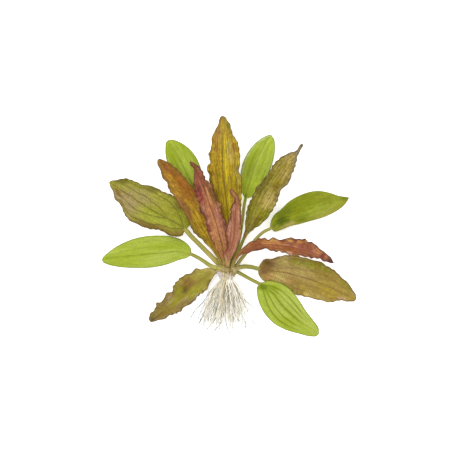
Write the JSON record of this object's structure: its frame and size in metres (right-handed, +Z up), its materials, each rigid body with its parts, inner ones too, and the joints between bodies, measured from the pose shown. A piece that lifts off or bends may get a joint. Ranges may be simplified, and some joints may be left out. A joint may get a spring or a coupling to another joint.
{
  "type": "amazon sword plant",
  "caption": "Bare-rooted amazon sword plant laid flat: long-stalked green and wavy bronze and red leaves fan from a short rootstock with a tuft of pale roots.",
  "frame": {"origin": "centre of the plant's outline on the surface it lies on", "axes": "+X runs across the plant from its left leaves to its right ones, +Y along the rootstock towards the tall leaf, +Z up from the surface it lies on"},
  "size_m": [0.2544, 0.2206, 0.0458],
  "materials": {
    "green_leaf": "satin",
    "deep_green_leaf": "satin",
    "olive_leaf": "satin",
    "amber_leaf": "satin",
    "red_leaf": "satin",
    "rust_leaf": "satin",
    "gold_leaf": "satin",
    "bronze_leaf": "satin",
    "tan_leaf": "satin",
    "rootstock": "matte",
    "root": "matte"
  },
  "bodies": {
    "root": {"leaf_green_left": "green_leaf", "leaf_green_back_left": "green_leaf", "leaf_green_back_right": "green_leaf", "leaf_green_lower_right": "green_leaf", "leaf_green_right": "deep_green_leaf", "leaf_olive_left": "olive_leaf", "leaf_amber_left": "amber_leaf", "leaf_red_centre": "red_leaf", "leaf_red_small": "red_leaf", "leaf_red_arching": "rust_leaf", "leaf_gold_tall": "gold_leaf", "leaf_bronze_right": "bronze_leaf", "leaf_bronze_lower_left": "bronze_leaf", "leaf_tan_right": "tan_leaf", "rootstock": "rootstock", "root_01": "root", "root_02": "root", "root_03": "root", "root_04": "root", "root_05": "root", "root_06": "root", "root_07": "root", "root_08": "root", "root_09": "root", "root_10": "root", "root_11": "root", "root_12": "root", "root_13": "root", "root_14": "root", "root_15": "root", "root_16": "root", "root_17": "root", "root_18": "root", "root_19": "root", "root_20": "root", "root_21": "root", "root_22": "root", "root_23": "root", "root_24": "root", "root_25": "root", "root_26": "root", "root_27": "root", "root_28": "root", "root_29": "root", "root_30": "root", "root_31": "root", "root_32": "root", "root_33": "root", "root_34": "root"}
  },
  "joints": []
}
